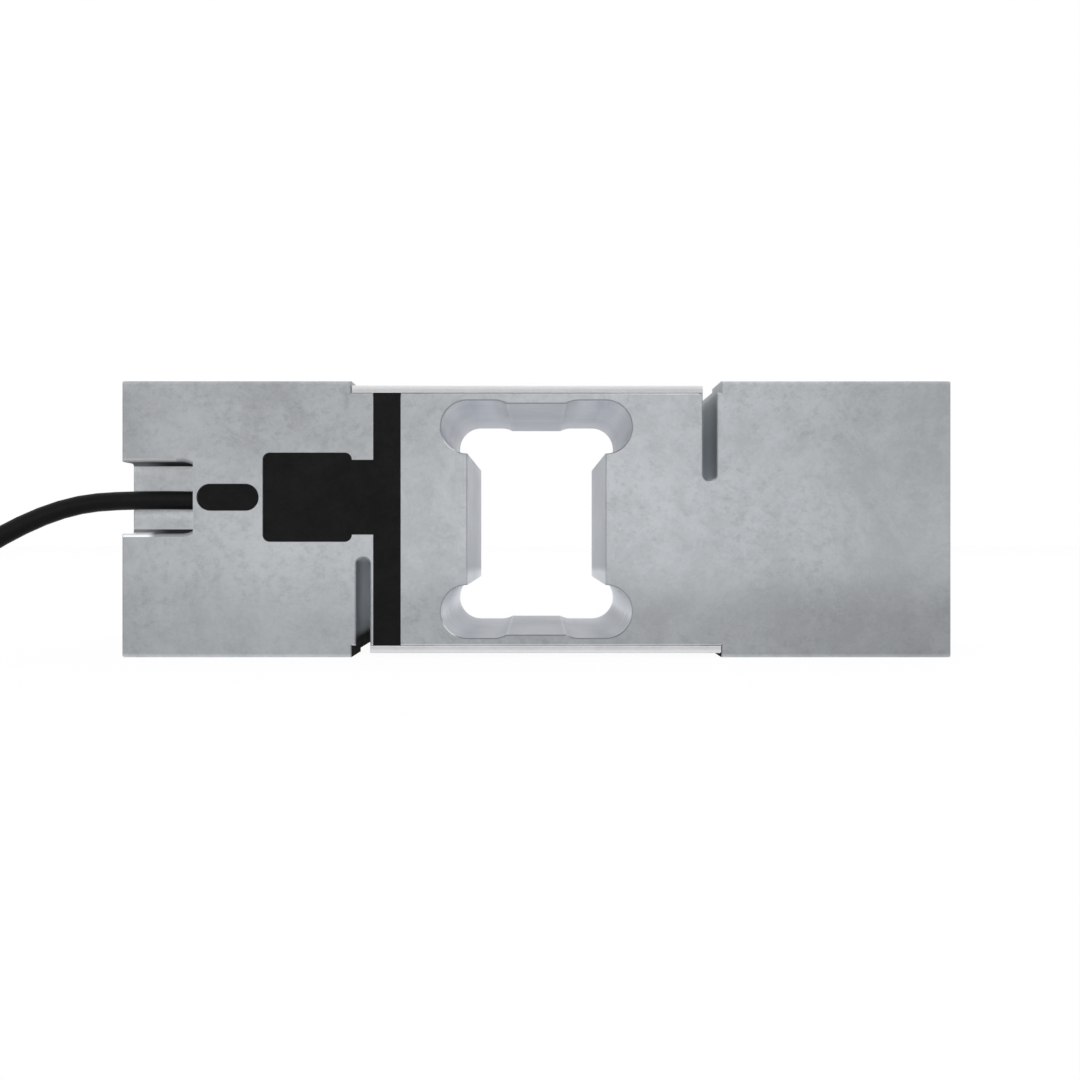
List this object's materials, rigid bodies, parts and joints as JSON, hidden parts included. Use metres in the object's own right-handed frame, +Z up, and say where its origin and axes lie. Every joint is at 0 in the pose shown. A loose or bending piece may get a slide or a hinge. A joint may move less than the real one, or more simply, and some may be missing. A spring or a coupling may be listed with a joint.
{
  "type": "single-point load cell",
  "caption": "Aluminium bending-beam load cell with a dog-bone window, isolation slots, potted gauge pockets and a coiled cable, for weighing under a platform.",
  "frame": {"origin": "middle of the block's base, on the surface that it stands on", "axes": "+X along the block from the cable end to the live end, -Y to the face with the pockets, +Z up"},
  "size_m": [0.2695, 0.0606, 0.05],
  "materials": {
    "machined_aluminium": "clear anodised, faintly mottled satin",
    "cover_aluminium": "bright rolled strip",
    "potting_compound": "matt cast resin",
    "cable_jacket": "satin extruded jacket",
    "gauge_film": "amber film with a foil grid",
    "flex_film": "amber film",
    "board_laminate": "coated laminate",
    "chip_ceramic": "glazed chip",
    "core_red": "core insulation",
    "core_black": "core insulation",
    "core_green": "core insulation",
    "core_white": "core insulation",
    "tie_strap": "ribbed strap",
    "shrink_sleeve": "shrunk sleeve",
    "tinned_copper": "tinned strands"
  },
  "bodies": {
    "root": {"spring_body": "machined_aluminium", "top_cover": "cover_aluminium", "bottom_cover": "cover_aluminium", "pocket_potting": "potting_compound", "cable_potting": "potting_compound", "gauge_top_left": "gauge_film", "gauge_top_right": "gauge_film", "gauge_bottom_left": "gauge_film", "gauge_bottom_right": "gauge_film", "top_flex_lead": "flex_film", "bottom_flex_lead": "flex_film", "terminal_board": "board_laminate", "span_resistor_a": "chip_ceramic", "span_resistor_b": "chip_ceramic", "zero_resistor": "chip_ceramic", "temperature_resistor": "chip_ceramic", "cable_root": "cable_jacket", "conductor_red": "core_red", "conductor_black": "core_black", "conductor_green": "core_green", "conductor_white": "core_white", "cable_run": "cable_jacket", "cable_coil": "cable_jacket", "cable_tail": "cable_jacket", "coil_tie": "tie_strap", "end_sleeve": "shrink_sleeve", "lead_red": "core_red", "lead_black": "core_black", "lead_green": "core_green", "lead_white": "core_white", "lead_tips": "tinned_copper", "shield_wire": "tinned_copper"}
  },
  "joints": []
}
